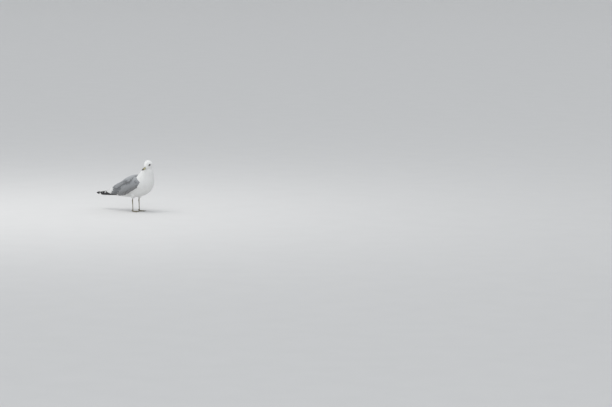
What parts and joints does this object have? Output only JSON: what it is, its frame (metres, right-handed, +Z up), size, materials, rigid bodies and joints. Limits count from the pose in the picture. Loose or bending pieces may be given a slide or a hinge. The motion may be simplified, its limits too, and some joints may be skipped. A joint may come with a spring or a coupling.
{
  "type": "seagull model",
  "caption": "Still, life-size common gull standing on webbed feet with folded wings, its head turned over its right shoulder.",
  "frame": {"origin": "on the floor, under the middle of the bounding box", "axes": "+X forward along the body, from tail to breast, +Y towards the bird's left, +Z up from the soles"},
  "size_m": [0.3956, 0.1302, 0.2822],
  "materials": {
    "plumage_white": "soft matt feather",
    "plumage_grey": "soft matt feather",
    "flight_black": "satin feather",
    "bill": "satin horn",
    "eye": "wet gloss",
    "leg_skin": "scaly satin skin",
    "claw": "smooth horn"
  },
  "bodies": {
    "root": {"head": "plumage_white", "neck": "plumage_white", "trunk": "plumage_white", "tail": "plumage_white", "bill_upper": "bill", "bill_lower": "bill", "wing_right_arm": "plumage_grey", "wing_right_tertials": "plumage_grey", "wing_right_primaries": "flight_black", "eye_right": "eye", "leg_right_thigh": "plumage_white", "leg_right_shank": "leg_skin", "foot_right": "leg_skin", "hind_toe_right": "leg_skin", "claw_right_inner": "claw", "claw_right_middle": "claw", "claw_right_outer": "claw", "wing_left_arm": "plumage_grey", "wing_left_tertials": "plumage_grey", "wing_left_primaries": "flight_black", "eye_left": "eye", "leg_left_thigh": "plumage_white", "leg_left_shank": "leg_skin", "foot_left": "leg_skin", "hind_toe_left": "leg_skin", "claw_left_inner": "claw", "claw_left_middle": "claw", "claw_left_outer": "claw"}
  },
  "joints": []
}
